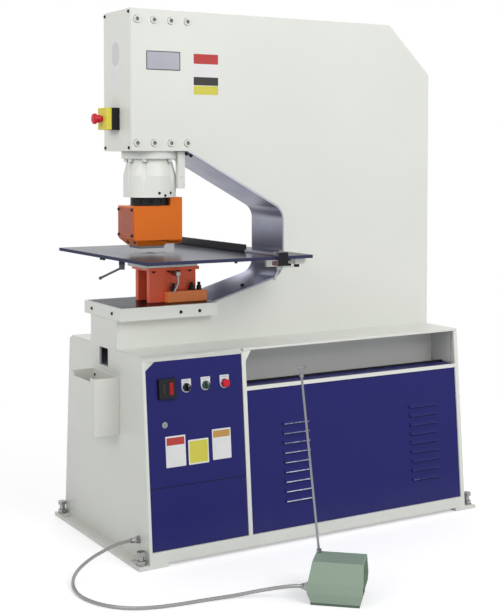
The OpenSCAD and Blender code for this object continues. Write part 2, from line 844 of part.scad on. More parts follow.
module control_door() {
  color(deep_blue) difference() {
    union() {
      intersection() {
        near_slab(ctrl_x0 + 1.5, ctrl_x1 - 3, door_z0, door_z1 - 1.5, door_face, door_face + 3);
        xz_plate(-400, -300)
          polygon([[-60, 200], [400, 200], [400, 720], [-9, 720], [-9, 699],
                   [ctrl_x0, 668], [-60, 668]]);
      }
      // hinge barrel with its pins, joined to the sheet by a folded edge
      door_axis() {
        translate([0, 0, 1]) cylinder(h = 429, r = 4);
        translate([0, 0, -13]) cylinder(h = 448.5, r = 3);
      }
      near_slab(hinge_x - 2, hinge_x + 2, door_z0 + 1, 697, door_face + 2.5, hinge_depth);
      // stiffening folds behind the sheet
      near_slab(-20, 300, door_z0 + 20, door_z0 + 23, door_face + 2.5, 14);
      near_slab(-20, 300, 672, 675, door_face + 2.5, 14);
    }
    on_near(switch_at[0], switch_at[1]) translate([-26, -26, -20]) cube([52, 52, 30]);
    for (p = [mode_at, function_at, stop_at])
      on_near(p[0], p[1]) translate([0, 0, -20]) cylinder(h = 30, r = stem_r + fit);
    on_near(lock_at[0], lock_at[1]) translate([0, 0, -20]) cylinder(h = 30, r = 8 + fit);
  }
}

module lower_panel() {
  color(deep_blue)
    near_slab(ctrl_x0 + 1.5, ctrl_x1 - 1.5, bay_z0 + 1.5, door_z0 - 2.5, 2, rim_t);
}

module slug_box() {
  z0 = 418;
  z1 = 622;
  y0 = -138;
  y1 = 92;
  x0 = base_x0 - 96;
  color(ivory) difference() {
    block(x0, base_x0, y0, y1, z0, z1);
    block(x0 + 3, base_x0 - 3, y0 + 3, y1 - 3, z0 + 3, z1 + 1);
    block(x0 - 1, x0 + 4, y0 + 40, y1 - 40, z1 - 14, z1 + 1);
  }
}

foot_x = [[-101, 11], [1282, 1383]];
foot_half = 384;

module foot_plates() {
  color(ivory) difference() {
    for (f = foot_x) block(f[0], f[1], -foot_half, foot_half, 0, foot_t);
    for (x = [anchor_x, anchor_x + anchor_span], s = [-1, 1]) {
      rod_z(-1, foot_t + 1, x, s * anchor_gap / 2, 9);
      rod_z(-1, foot_t + 1, x, s * 356, 10 + fit);
    }
  }
}

module levelling_bolts() {
  color(zinc) for (x = [anchor_x, anchor_x + anchor_span], s = [-1, 1])
    translate([x, s * 356, 0]) {
      translate([0, 0, 1]) cylinder(h = 50, r = 10);
      translate([0, 0, foot_t]) cylinder(h = 3, r = 18);
      translate([0, 0, foot_t + 2.99]) cylinder(h = 12, r = 17, $fn = 6);
      translate([0, 0, foot_t + 34]) cylinder(h = 12.5, r = 17, $fn = 6);
    }
}

// ================= controls =================

module mains_switch() {
  color(black) on_near(switch_at[0], switch_at[1]) difference() {
    union() {
      translate([-33.5, -34.5, -1.69]) cube([67, 69, 13.69]);
      translate([-25.5, -25.5, -44]) cube([51, 51, 43]);
    }
    translate([on_at[0] - 8.4, -18.4, -10]) cube([16.8, 36.8, 24]);
    translate([off_at[0] - 8.4, -22.4, -10]) cube([16.8, 44.8, 24]);
  }
}

module push_key(x, half, h) {
  on_near(switch_at[0], switch_at[1]) {
    translate([x - 8, -half, -1]) cube([16, 2 * half, h]);
    translate([x - 3, -4, -5.7]) cube([6, 8, 5]);
  }
}

module mains_on_button() color(black) push_key(on_at[0], 18, 12);
module mains_off_button() color(signal_red) push_key(off_at[0], 22, 15);

// panel-mounted operator: collar and stem through the door
module operator_stem(r) {
  translate([0, 0, -1.65]) cylinder(h = 3, r = 15);
  translate([0, 0, -34]) cylinder(h = 33, r = r);
}

module selector(p) {
  on_near(p[0], p[1]) {
    operator_stem(stem_r);
    translate([0, 0, 1]) cylinder(h = 8, r = 13.5);
    translate([-3.5, -13, 8.5]) cube([7, 26, 10]);
  }
}

module mode_selector() color(black) selector(mode_at);
module function_selector() color([0.12, 0.25, 0.2]) selector(function_at);

module stop_button() {
  color(signal_red) on_near(stop_at[0], stop_at[1]) {
    translate([0, 0, -34]) cylinder(h = 41, r = stem_r);
    translate([0, 0, 6.5]) cylinder(h = 10, r = 14.5);
  }
}

module door_lock() {
  color(zinc) on_near(lock_at[0], lock_at[1]) difference() {
    union() {
      translate([0, 0, -1.65]) cylinder(h = 4, r = 11);
      translate([0, 0, -14]) cylinder(h = 13, r = 8);
      translate([-8, 0, -12.5]) cube([16, 62, 3]);
    }
    translate([-1, -4, 0.5]) cube([2, 8, 3]);
  }
}

estop_y0 = -24;
estop_y1 = 52;
estop_z = 1540;
estop_mid = (estop_y0 + estop_y1) / 2;

module estop_base() {
  color(black) difference() {
    block(-31, 0, estop_y0, estop_y1, estop_z - 40, estop_z + 40);
    block(-32, -4, estop_y0 + 4, estop_y1 - 4, estop_z - 36, estop_z + 36);
  }
}

module estop_lid() {
  color([0.87, 0.8, 0.25]) difference() {
    block(-53, -31, estop_y0, estop_y1, estop_z - 40, estop_z + 40);
    block(-49, -30, estop_y0 + 4, estop_y1 - 4, estop_z - 36, estop_z + 36);
    rod_x(-54, -48, estop_mid, estop_z, 11 + fit);
  }
}

module estop_button() {
  color(signal_red) {
    rod_x(-90, -76, estop_mid, estop_z, 20);
    rod_x(-76.01, -62, estop_mid, estop_z, 15);
    rod_x(-62.01, -18, estop_mid, estop_z, 11);
  }
}

// ================= hydraulic unit =================

module oil_tank() {
  color(deep_blue) {
    difference() {
      block(760, 1250, -290, -125, 60, 330);
      block(764, 1246, -286, -129, 64, 326);
      rod_z(325, 331, 1200, -208, 20);
    }
    block(752, 1258, -298, -117, 330, 336);
    rod_z(336, 352, 1200, -208, 24);
    block(800, 890, -250, -170, 336, 400);
    // brackets that carry the tank on the frame
    for (x = [770, 1200]) block(x, x + 40, -290, -frame_w / 2, 30, 60 + eps);
  }
}

motor_x = 1010;
motor_y = -208;

module motor() {
  color(zinc) difference() {
    union() {
      rod_z(336, 346, motor_x, motor_y, 72);
      rod_z(345, 490, motor_x, motor_y, 62);
      for (a = [0 : 30 : 330])
        translate([motor_x, motor_y, 352]) rotate(a) block(60, 70, -2, 2, 0, 130);
      rod_z(489, 536, motor_x, motor_y, 72);
    }
    rod_z(496, 530, motor_x, motor_y, 68);
    rod_z(529, 537, motor_x, motor_y, 40);
    rod_z(470, 497, motor_x, motor_y, 9 + fit);
  }
}

module motor_fan() {
  color(black) difference() {
    union() {
      rod_z(472, 520, motor_x, motor_y, 9);
      rod_z(502, 506, motor_x, motor_y, 62);
      for (a = [0 : 60 : 300])
        translate([motor_x, motor_y, 505]) rotate(a) block(8, 60, -1.5, 1.5, 0, 18);
    }
    rod_z(516, 521, motor_x, motor_y, 3);
  }
}

// ================= foot switch =================

hood_t = 3;
plate_h = 8;
base_x = 155;            // length of the base plate

// The hood's walls bulge at mid height. hood_section is its outline across
// the foot, hood_profile the one along it; t sets the inner face.
module hood_section(t) {
  z0 = plate_h - (t > 0 ? 1 : 0);
  polygon([[2 + t, z0], [t, 38], [8 + t, 67], [pedal_set + t * 0.7, pedal_h - t],
           [153 - t, pedal_h - t], [pedal_d - t, 60], [158 - t, z0]]);
}

module hood_profile(t) {
  z0 = plate_h - (t > 0 ? 1 : 0);
  front = t > 0 ? [[180, pedal_h - t], [180, z0]]
                : [[pedal_w, pedal_h], [pedal_w + 4, 67], [pedal_w + 2, 38], [base_x, z0]];
  polygon(concat([[1 + t, z0], [t - 12, 38], [t - 10, 67], [t - 1, pedal_h - t]], front));
}

module pedal_base() {
  color(hood_green) at_pedal() {
    block(0, base_x, 2, pedal_d - 2, 0, plate_h);
    // ears that carry the treadle's pin, standing inside the hood
    for (y = [40, pedal_d - 26])
      difference() {
        block(treadle_axis[0] - 12, treadle_axis[0] + 12, y, y + 8, plate_h - eps, 46);
        rod_y(y - 1, y + 9, treadle_axis[0], treadle_axis[1], 4 + fit);
      }
    // switch body that the treadle presses
    block(treadle_axis[0] + 36, treadle_axis[0] + 66, 70, 110, plate_h - eps, 22);
  }
}

module pedal_hood() {
  color(hood_green) at_pedal() difference() {
    intersection() {
      yz_plate(-20, pedal_w + 10) hood_section(0);
      xz_plate(-1, pedal_d + 1) hood_profile(0);
    }
    intersection() {
      yz_plate(-20, pedal_w + 20) hood_section(hood_t);
      xz_plate(-1, pedal_d + 1) hood_profile(hood_t);
    }
    rod_x(-14, 0, port_at[0], port_at[1], 8 + fit);
    rod_z(pedal_h - hood_t - 1, pedal_h + 1, pole_at[0], pole_at[1], 4 + fit);
  }
}

module treadle() {
  color(zinc) at_pedal() {
    rod_y(41, pedal_d - 19, treadle_axis[0], treadle_axis[1], 4);
    difference() {
      block(treadle_axis[0] - 4, pedal_w - 14, 52, pedal_d - 30, 38, 43);
      for (x = [60 : 14 : 130]) block(x, x + 4, 60, pedal_d - 38, 41.5, 44);
    }
    block(treadle_axis[0] - 4, treadle_axis[0] + 4, 52, pedal_d - 30, 34, 39);
  }
}

pole_at = [8, 136];       // foot of the pole on the hood
pole_lean = [-62, 0, 607];
pole_len = norm(pole_lean);

module pedal_pole() {
  color(zinc) at_pedal() translate([pole_at[0], pole_at[1], pedal_h])
    rotate([0, atan(pole_lean[0] / pole_lean[2]), 0]) {
      translate([0, 0, 4]) cylinder(h = pole_len - 10, r = 4);
      translate([0, 0, pole_len - 38]) cylinder(h = 14, r = 7);
      translate([-16, 0, pole_len - 6]) rotate([0, 90, 0]) cylinder(h = 32, r = 5);
    }
  color(zinc) at_pedal() {
    rod_z(pedal_h, pedal_h + 12, pole_at[0], pole_at[1], 8);
    rod_z(pedal_h - 12, pedal_h + 1, pole_at[0], pole_at[1], 4);
  }
}

// ================= conduit =================

// straight conduit fitting: thread, hexagon and sleeve along +Z
module conduit_fitting(reach) {
  translate([0, 0, -12]) cylinder(h = 13, r = 8);
  cylinder(h = 4, r = 13.5);
  translate([0, 0, 3.99]) cylinder(h = 7, r = 13, $fn = 6);
  translate([0, 0, 10.98]) cylinder(h = reach - 10.98, r = 9);
}

module conduit_fittings() {
  color(zinc) {
    translate([base_x0, -293, 82]) rotate([0, -90, 0]) conduit_fitting(gland_len);
    at_pedal() translate([-12.05, port_at[0], port_at[1]]) rotate([0, -90, 0])
      conduit_fitting(gland_len - 12.4);
  }
}

function lerp3(a, b, t) = a + (b - a) * t;
function catmull(a, b, c, d, t) = 0.5 * (2 * b + (c - a) * t
  + (2 * a - 5 * b + 4 * c - d) * t * t + (3 * b - a - 3 * c + d) * t * t * t);
function unit(v) = v / norm(v);

route_steps = 3;
route_last = len(route) - 1;
centre_line = concat(
  [for (i = [0 : route_last - 1], k = [0 : route_steps - 1])
    catmull(route[max(i - 1, 0)], route[i], route[i + 1],
            route[min(i + 2, route_last)], k / route_steps)],
  [route[route_last]]);
ring_n = 8;
ring_last = len(centre_line) - 1;

function ring(i) =
  let (dir = unit(centre_line[min(i + 1, ring_last)] - centre_line[max(i - 1, 0)]),
       side = unit(cross(dir, [0, 0, 1])), up = cross(side, dir))
  [for (k = [0 : ring_n - 1]) centre_line[i]
    + conduit_d / 2 * (side * cos(360 * k / ring_n) + up * sin(360 * k / ring_n))];

module conduit() {
  color(zinc) polyhedron(
    points = [for (i = [0 : ring_last]) each ring(i)],
    faces = concat(
      [[for (k = [0 : ring_n - 1]) k]],
      [for (i = [0 : ring_last - 1], k = [0 : ring_n - 1])
        [i * ring_n + k, (i + 1) * ring_n + k,
         (i + 1) * ring_n + (k + 1) % ring_n, i * ring_n + (k + 1) % ring_n]],
      [[for (k = [ring_n - 1 : -1 : 0]) ring_last * ring_n + k]]));
}

place() frame_plates();
place() throat_liner();
place() spine_plate();
place() cylinder_block();
place() head_cover();
place() black_screws();
place() frame_bolts();
place() nose_casting();
place() limit_switch_box();
place() piston_rod();
place() coupling_nut();
place() punch();
place() guard_ring();
place() stripper_box();
place() guard_window();
place() stripper_plate();
place() table_plate();
place() table_carrier();
place() table_arms();
place() die_holder();
place() die();
place() fence_bar();
place() fence_clamp();
place() fence_lever();
place() front_lever();
place() side_lever();
place() pedestal();
place() pedestal_feet();
place() bolster_rim();
place() bolster_plate();
place() slug_chute();
place() cabinet_shell();
place() door_surround();
place() cabinet_lid();
place() side_tray();
place() side_panel();
place() control_door();
place() lower_panel();
place() slug_box();
place() foot_plates();
place() levelling_bolts();
place() mains_switch();
place() mains_on_button();
place() mains_off_button();
place() mode_selector();
place() function_selector();
place() stop_button();
place() door_lock();
place() estop_base();
place() estop_lid();
place() estop_button();
place() oil_tank();
place() motor();
place() motor_fan();
place() pedal_base();
place() pedal_hood();
place() treadle();
place() pedal_pole();
place() conduit_fittings();
place() conduit();
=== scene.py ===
import bpy, bmesh, json, math
from mathutils import Matrix, Vector

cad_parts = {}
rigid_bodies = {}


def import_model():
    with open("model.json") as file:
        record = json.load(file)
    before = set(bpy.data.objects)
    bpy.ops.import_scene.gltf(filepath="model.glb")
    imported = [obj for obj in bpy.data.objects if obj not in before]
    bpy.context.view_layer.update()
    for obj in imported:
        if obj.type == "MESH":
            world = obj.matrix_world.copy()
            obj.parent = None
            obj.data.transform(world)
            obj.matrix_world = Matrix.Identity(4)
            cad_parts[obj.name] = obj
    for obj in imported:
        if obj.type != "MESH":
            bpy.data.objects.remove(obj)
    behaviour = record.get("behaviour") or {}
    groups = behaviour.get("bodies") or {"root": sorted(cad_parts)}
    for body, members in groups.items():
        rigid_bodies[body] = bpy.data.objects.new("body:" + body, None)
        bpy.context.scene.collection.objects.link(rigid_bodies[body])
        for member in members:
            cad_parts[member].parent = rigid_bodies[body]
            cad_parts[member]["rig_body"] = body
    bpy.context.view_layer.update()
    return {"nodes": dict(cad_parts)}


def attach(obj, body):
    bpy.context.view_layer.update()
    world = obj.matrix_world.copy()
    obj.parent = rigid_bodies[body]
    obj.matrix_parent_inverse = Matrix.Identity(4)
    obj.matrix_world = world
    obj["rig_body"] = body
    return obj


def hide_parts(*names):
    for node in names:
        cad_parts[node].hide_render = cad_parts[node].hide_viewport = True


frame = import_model()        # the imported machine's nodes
node = frame["nodes"]


# ---- Studio ----
# A plain white floor under large soft lamps. The camera stands at the
# operator's corner, a little lower than the machine's head.

def linear(r, g, b):
    """The shader's colour for a paint given as 0..255 red, green and blue."""
    return [((c / 255 + 0.055) / 1.055) ** 2.4 if c > 10 else c / 3294.6 for c in (r, g, b)] + [1]


class Wire:
    """A shader socket: arithmetic on it adds the Math nodes."""

    def __init__(self, finish, socket):
        self.finish, self.socket = finish, socket

    def math(self, operation, other=0.0, swapped=False):
        pair = (other, self) if swapped else (self, other)
        return self.finish.add("ShaderNodeMath", {"operation": operation}, dict(enumerate(pair)))

    def __add__(self, other):
        return self.math("ADD", other)

    def __sub__(self, other):
        return self.math("SUBTRACT", other)

    def __rsub__(self, other):
        return self.math("SUBTRACT", other, True)

    def __mul__(self, other):
        return self.math("MULTIPLY", other)

    __radd__, __rmul__ = __add__, __mul__

    def clamp(self):
        return self.finish.add("ShaderNodeClamp", {}, {0: self})


class Finish:
    """A material whose nodes are added one call at a time."""

    def __init__(self, name, tree=None):
        if tree is None:
            self.material = bpy.data.materials.new(name)
            self.material.use_nodes = True
            tree = self.material.node_tree
        self.tree = tree
        tree.nodes.clear()

    def add(self, kind, settings, sockets, out=0):
        made = self.tree.nodes.new(kind)
        for key, value in settings.items():
            setattr(made, key, value)
        for key, value in sockets.items():
            if isinstance(value, Wire):
                self.tree.links.new(value.socket, made.inputs[key])
            else:
                made.inputs[key].default_value = value
        return Wire(self, made.outputs[out])

    def place(self, scale=(1, 1, 1)):
        spot = self.add("ShaderNodeTexCoord", {}, {}, "Object")
        return self.add("ShaderNodeMapping", {}, {"Vector": spot, "Scale": scale})

    def noise(self, scale, detail=3.0, stretch=(1, 1, 1)):
        return self.add("ShaderNodeTexNoise", {}, {
            "Vector": self.place(stretch), "Scale": scale, "Detail": detail}, "Fac")

    def along(self, axis):
        return self.add("ShaderNodeSeparateXYZ", {}, {0: self.place()}, axis)

    def mix(self, share, first, second):
        return self.add("ShaderNodeMix", {"data_type": "RGBA"}, {0: share, 6: first, 7: second}, 2)

    def bump(self, height, strength, distance):
        return self.add("ShaderNodeBump", {}, {
            "Height": height, "Strength": strength, "Distance": distance})

    def show(self, shader, kind="ShaderNodeOutputMaterial"):
        self.tree.links.new(shader.socket, self.tree.nodes.new(kind).inputs[0])

    def surface(self, **sockets):
        names = {key.replace("_", " "): value for key, value in sockets.items()}
        self.show(self.add("ShaderNodeBsdfPrincipled", {}, names))
        return self.material

    def watched(self):
        """1 where the eye, a mirror or a clear sheet looks, 0 where light is gathered."""
        rays = [self.add("ShaderNodeLightPath", {}, {}, "Is %s Ray" % kind)
                for kind in ("Camera", "Glossy", "Transmission")]
        return rays[0].math("MAXIMUM", rays[1]).math("MAXIMUM", rays[2])


shadow_reach = 1.3       # metres of floor round the machine that keep its shadow
shadow_fade = 0.7        # how fast the floor beyond turns plain white

floor_white = Finish("floor_white")
floor_lit = floor_white.add("ShaderNodeBsdfDiffuse", {}, {"Color": linear(236, 236, 238)})
floor_glow = floor_white.add("ShaderNodeEmission", {}, {"Strength": 0.42})
floor_far = floor_white.add("ShaderNodeEmission", {}, {"Strength": 1.0})
reach = floor_white.add("ShaderNodeVectorMath", {"operation": "LENGTH"},
                        {0: floor_white.place((1, 1.1, 1))}, "Value")
floor_near = floor_white.add("ShaderNodeAddShader", {}, {0: floor_lit, 1: floor_glow})
floor_seen = floor_white.add("ShaderNodeMixShader", {}, {
    0: ((reach - shadow_reach) * shadow_fade).clamp(), 1: floor_near, 2: floor_far})
floor_white.show(floor_white.add("ShaderNodeMixShader", {}, {
    0: floor_white.watched(), 1: floor_lit, 2: floor_seen}))

bm = bmesh.new()
bmesh.ops.create_grid(bm, x_segments=1, y_segments=1, size=60)
floor_mesh = bpy.data.meshes.new("studio_floor")
bm.to_mesh(floor_mesh)
bm.free()
floor_mesh.materials.append(floor_white.material)
floor = bpy.data.objects.new("studio_floor", floor_mesh)
bpy.context.scene.collection.objects.link(floor)

world = bpy.data.worlds.new("studio_air")
bpy.context.scene.world = world
world.use_nodes = True
air = Finish("studio_air", world.node_tree)
air.show(air.add("ShaderNodeBackground", {}, {
    "Color": (1, 1, 1, 1), "Strength": air.watched().math("MAXIMUM", 0.5)}),
    "ShaderNodeOutputWorld")

for name, place, aim, size, power, spread in (
        ("key_lamp", (0.8, -5.4, 4.2), (0, 0, 0.9), 3.2, 152, 180),
        ("side_lamp", (-4.6, -1.4, 3.3), (0, 0, 2.3), 2.4, 14, 64),
        ("back_lamp", (1.5, 4.2, 3.8), (0, 0, 1.0), 3.0, 60, 180)):
    lamp = bpy.data.lights.new(name, "AREA")
    lamp.shape, lamp.size, lamp.energy = "SQUARE", size, power
    lamp.spread = math.radians(spread)
    stand = bpy.data.objects.new(name, lamp)
    stand.location = place
    stand.rotation_euler = (Vector(aim) - Vector(place)).to_track_quat("-Z", "Y").to_euler()
    bpy.context.scene.collection.objects.link(stand)

camera_dip = 2.765       # degrees below level
camera_turn = -30.646    # degrees from looking straight at the control side
camera = bpy.data.cameras.new("camera")
camera.lens, camera.sensor_width = 71.135, 36
camera.shift_y = -0.15
camera.clip_start, camera.clip_end = 0.05, 200
viewer = bpy.data.objects.new("camera", camera)
viewer.location = (-2.4794, -4.0519, 1.4036)
viewer.rotation_euler = (math.radians(90 - camera_dip), 0, math.radians(camera_turn))
bpy.context.scene.collection.objects.link(viewer)
bpy.context.scene.camera = viewer
bpy.context.scene.view_settings.view_transform = "Standard"


# ---- Conduit of the foot switch ----
# A strip-wound steel conduit, 12 mm over its ribs, lies on the floor from a
# gland low in the cabinet's end to a connector in the side of the foot
# switch. Gland and connector are plated steel, turned from hexagon bar.

drawing_middle = 640      # mm along the drawing's x, where the scene has its zero
conduit_route = [
    (-90, -293, 82), (-112, -293, 81), (-138, -295, 79), (-168, -300, 74),
    (-201, -307, 67), (-237, -316, 58), (-272, -327, 46), (-304, -343, 33),
    (-331, -369, 20), (-351, -410, 10), (-362, -461, 6.3), (-363, -516, 6),
    (-351, -569, 6), (-328, -618, 6), (-296, -658, 6), (-253, -690, 6),
    (-196, -712, 6), (-132, -725, 6), (-63, -733, 6), (6, -744, 7),
    (64, -761, 11), (114, -784, 20), (157, -815, 31), (190, -848, 41.5),
    (212, -870.2, 46.8), (227.2, -884, 48)]
rib_step = 0.0015         # metres from a rib to the groove beside it
groove_share = 0.88       # the groove's radius, as a share of the rib's


def at(x, y, z):
    """A drawing point in mm, as a place in the scene."""
    return Vector(((x - drawing_middle) / 1000, y / 1000, z / 1000))


def steel(name, colour, rough, grain=(1, 1, 1), depth=0.00002, metal=1.0, rim=0.6):
    """Bare or plated steel: fine grain, and a slow change of gloss over the face. rim is
    how bright it stays where it is seen almost edge on."""
    f = Finish(name)
    fine = f.noise(240, 4, grain)
    slow = f.noise(5, 3)
    dark = [c * 0.82 for c in colour[:3]] + [1]
    return f.surface(
        Base_Color=f.mix((slow * 1.6 - 0.3).clamp(), colour, dark),
        Metallic=metal, Specular_Tint=(rim, rim, rim, 1),
        Roughness=(slow * 0.14 + fine * 0.1 + (rough - 0.12)).clamp(),
        Normal=f.bump(fine, 0.35, depth))


def piece(name, bm, like, material, body=None, instead=False):
    """Makes a piece of the mesh bm. It rides with the CAD node it is like, and with
    instead it is shown in that node's place."""
    mesh = bpy.data.meshes.new(name)
    bm.to_mesh(mesh)
    bm.free()
    mesh.polygons.foreach_set("use_smooth", [True] * len(mesh.polygons))
    mesh.set_sharp_from_angle(angle=math.radians(35))
    for one in material if isinstance(material, list) else [material]:
        mesh.materials.append(one)
    made = bpy.data.objects.new(name, mesh)
    bpy.context.scene.collection.objects.link(made)
    flat = made.modifiers.new("flat_faces", "WEIGHTED_NORMAL")
    flat.keep_sharp, flat.weight = True, 80
    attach(made, body or node[like]["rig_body"])
    if instead:
        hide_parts(like)
    return made


def softened(source, width, material, shortest=6.0, segments=2, angle=40, clamp=True, second=None):
    """Stands for the CAD node source with its sharp edges rounded to width mm, where they
    are longer than shortest mm. second says, from a face, whether it has material 1."""
    bm = bmesh.new()
    bm.from_mesh(node[source].data)
    bmesh.ops.remove_doubles(bm, verts=bm.verts, dist=2e-6)
    bmesh.ops.dissolve_limit(bm, angle_limit=math.radians(0.5), verts=bm.verts, edges=bm.edges)
    sharp = [e for e in bm.edges if e.is_manifold and e.calc_length() > shortest / 1000
             and e.calc_face_angle() > math.radians(angle)]
    bmesh.ops.bevel(bm, geom=sharp, offset=width / 1000, offset_type="OFFSET", segments=segments,
                    profile=0.5, affect="EDGES", material=-1, clamp_overlap=clamp)
    if second:
        for face in bm.faces:
            face.material_index = 1 if second(face) else 0
    return piece(source + "_finished", bm, source, material, instead=True)


zinc_plate = steel("zinc_plate", linear(166, 167, 166), 0.3)

# the route's points, joined by a smooth curve and cut into ribs and grooves
knots = [at(*p) for p in conduit_route]
line = []
for i in range(len(knots) - 1):
    before, here, there, beyond = (
        knots[max(i - 1, 0)], knots[i], knots[i + 1], knots[min(i + 2, len(knots) - 1)])
    rings = max(2, round((there - here).length / rib_step))
    for k in range(rings):
        t = k / rings
        line.append(0.5 * (2 * here + (there - before) * t
                           + (2 * before - 5 * here + 4 * there - beyond) * t * t
                           + (3 * here - before - 3 * there + beyond) * t ** 3))
line.append(knots[-1])
conduit_curve = bpy.data.curves.new("foot_conduit", "CURVE")
conduit_curve.dimensions = "3D"
conduit_curve.bevel_depth, conduit_curve.bevel_resolution = 0.006, 2
conduit_curve.use_fill_caps = True
run = conduit_curve.splines.new("POLY")
run.points.add(len(line) - 1)
for i, (point, spot) in enumerate(zip(run.points, line)):
    point.co = (*spot, 1)
    point.radius = 1.0 if i % 2 else groove_share
run.use_smooth = False
conduit_curve.materials.append(zinc_plate)
conduit = bpy.data.objects.new("foot_conduit", conduit_curve)
bpy.context.scene.collection.objects.link(conduit)
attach(conduit, "machine")
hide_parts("conduit")
conduit_ends = softened("conduit_fittings", 0.25, zinc_plate, shortest=1.5)
at(-90, -293, 82)


# ---- Frame ----
# Two thick plates, cut to a C, with a spine plate welded between them along
# the top and back. All are sprayed ivory, and the cut edges are broken.

def paint(name, colour, rough=0.36, peel=0.5, grime=0.25, shine=0.5):
    """Sprayed enamel: orange peel, slight changes of tone, and dust near the floor."""
    dust_top = 0.16      # metres over the floor
    f = Finish(name)
    slow = f.noise(2.2, 4)
    cloud = f.noise(9, 5)
    low = ((dust_top - f.along("Z")) * 7).clamp() * cloud * grime
    shade = [c * 0.94 for c in colour[:3]] + [1]
    dust = [c * 0.6 + 0.05 for c in colour[:3]] + [1]
    tone = f.mix((slow * 2 - 0.6).clamp(), colour, shade)
    return f.surface(
        Base_Color=f.mix(low, tone, dust),
        Roughness=(slow * 0.08 + low * 0.4 + (rough - 0.04)).clamp(),
        Specular_IOR_Level=shine,
        Normal=f.bump(f.noise(260, 2), peel * 0.3, 0.00006))


ivory_enamel = paint("ivory_enamel", linear(228, 230, 223))
softened("frame_plates", 2.0, ivory_enamel, shortest=8.5)
softened("spine_plate", 1.0, ivory_enamel)


# ---- Throat liner ----
# A steel flat, bent to the throat and welded between the frame's plates. It
# is not painted, and its surface still shows the marks of the belt grinder. Its
# upper part is painted paler: a painted highlight.

# painted highlight: from this height up the steel's colour is painted paler
painted_light_from = 1.1         # metres over the floor, where the steel turns paler
strap = Finish("throat_strap")
marks = strap.noise(240, 4, (1, 0.05, 1))
wiped = strap.noise(5, 3)
# painted highlight: the steel's colour is mixed towards a paler tone above that height
upper = ((strap.along("Z") - painted_light_from) * 5).clamp()
strap_tone = strap.mix(upper, linear(146, 148, 164), linear(222, 223, 231))
throat_strap = strap.surface(
    Base_Color=strap.mix((wiped * 1.6 - 0.3).clamp() * 0.5, strap_tone, linear(126, 128, 144)),
    Metallic=1.0, Specular_Tint=(0.6, 0.6, 0.62, 1),
    Roughness=(wiped * 0.14 + marks * 0.1 + 0.24).clamp(),
    Normal=strap.bump(marks, 0.35, 0.00003))
softened("throat_liner", 0.8, throat_strap)


# ---- Head ----
# The cylinder's steel block is bolted between the plates by eight cap screws
# a side. A thin cover with four button screws closes the front.

ram_x = 130                        # the cylinder's axis
bolt_seat = 106                    # the frame bolts' seats, from the machine's middle
bolt_columns = (26, 93.5, 161, 228)
bolt_rows = (1452, 1892)
frame_bolt = dict(radius=12.5, height=14, socket=8, deep=6)
flange_circle, flange_z = 88, 1396
flange_screw = dict(radius=9, height=12, socket=5.8, deep=5)


def dress(material, *names):
    """Gives CAD nodes, whose shape is right as it is, their finish."""
    for name in names:
        mesh = node[name].data
        mesh.materials.clear()
        mesh.materials.append(material)


def facing(point, up):
    """A place at a drawing point in mm, whose height runs along up."""
    return Matrix.Translation(at(*point)) @ Vector(up).to_track_quat("Z", "Y").to_matrix().to_4x4()


def join(bm, own, place, look=None):
    """Adds the shape own, whose mesh is in metres, to bm at a place."""
    if look is not None:
        for face in own.faces:
            face.material_index = look
    own.transform(place)
    spare = bpy.data.meshes.new("spare")
    own.to_mesh(spare)
    own.free()
    bm.from_mesh(spare)
    bpy.data.meshes.remove(spare)


def spun(profile, steps):
    """A shape of its own, turned from its (radius, height) points in mm."""
    own = bmesh.new()
    dots = [own.verts.new((r / 1000, 0, h / 1000)) for r, h in profile]
    for pair in zip(dots, dots[1:]):
        own.edges.new(pair)
    bmesh.ops.spin(own, geom=own.verts[:] + own.edges[:], cent=(0, 0, 0), axis=(0, 0, 1),
                   dvec=(0, 0, 0), angle=2 * math.pi, steps=steps, use_merge=True)
    bmesh.ops.remove_doubles(own, verts=own.verts, dist=1e-6)
    bmesh.ops.recalc_face_normals(own, faces=own.faces)
    return own


def cap_screw(bm, place, radius, height, socket, deep, edge=0.8, looks=(0, 1), steps=36):
    """Adds a screw's head with a hexagon socket: it is turned, and its bore is drawn in
    to six flats. The seat is at the place, and the socket has the second look."""
    own = spun([(0, 0), (radius, 0), (radius, height - edge), (radius - edge, height),
                (socket, height), (socket, height - deep), (0, height - deep)], steps)
    for vert in own.verts:
        if abs(vert.co.xy.length - socket / 1000) < 1e-6:
            turn = math.atan2(vert.co.y, vert.co.x) % math.radians(60) - math.radians(30)
            vert.co.xy *= math.cos(math.radians(30)) / math.cos(turn)
    for face in own.faces:
        inside = all(v.co.xy.length < socket / 1000 + 1e-6 for v in face.verts)
        face.material_index = looks[1] if inside else looks[0]
    join(bm, own, place)


blackened = steel("blackened_steel", linear(30, 30, 33), 0.42, depth=0.00004, metal=0.4)
belt_ground = steel("belt_ground", linear(142, 143, 155), 0.36, (1, 0.05, 1), 0.00003)
# grey enamel in the sockets of the ivory frame bolts: painted shade in the sockets
socket_painted_shade = paint("socket_painted_shade", linear(150, 151, 146), 0.6)
softened("head_cover", 0.8, ivory_enamel, shortest=20)
dress(belt_ground, "cylinder_block")
softened("black_screws", 0.4, blackened, shortest=0.3)

bm = bmesh.new()
for side in (-1, 1):
    for x in bolt_columns:
        for z in bolt_rows:
            cap_screw(bm, facing((x, side * bolt_seat, z), (0, side, 0)), **frame_bolt)
for degrees in (59, 127.5, 167, 193, 232.5, 301):
    turn = math.radians(degrees)
    seat = (ram_x + flange_circle * math.cos(turn), flange_circle * math.sin(turn), flange_z)
    cap_screw(bm, facing(seat, (0, 0, -1)), **flange_screw)
piece("frame_bolts_finished", bm, "frame_bolts", [ivory_enamel, socket_painted_shade], instead=True)


# ---- Blank plates on the head ----
# A riveted aluminium name plate and two self-adhesive vinyl cards. All are
# plain: they carry no lettering and no signs.

frame_side = Matrix.Translation(at(0, -115, 0)) @ Matrix.Rotation(math.radians(90), 4, "X")


def on_frame(x, z):
    """A place on the frame's near side: its y runs up, and its height outwards."""
    return frame_side @ Matrix.Translation((x / 1000, z / 1000, 0))


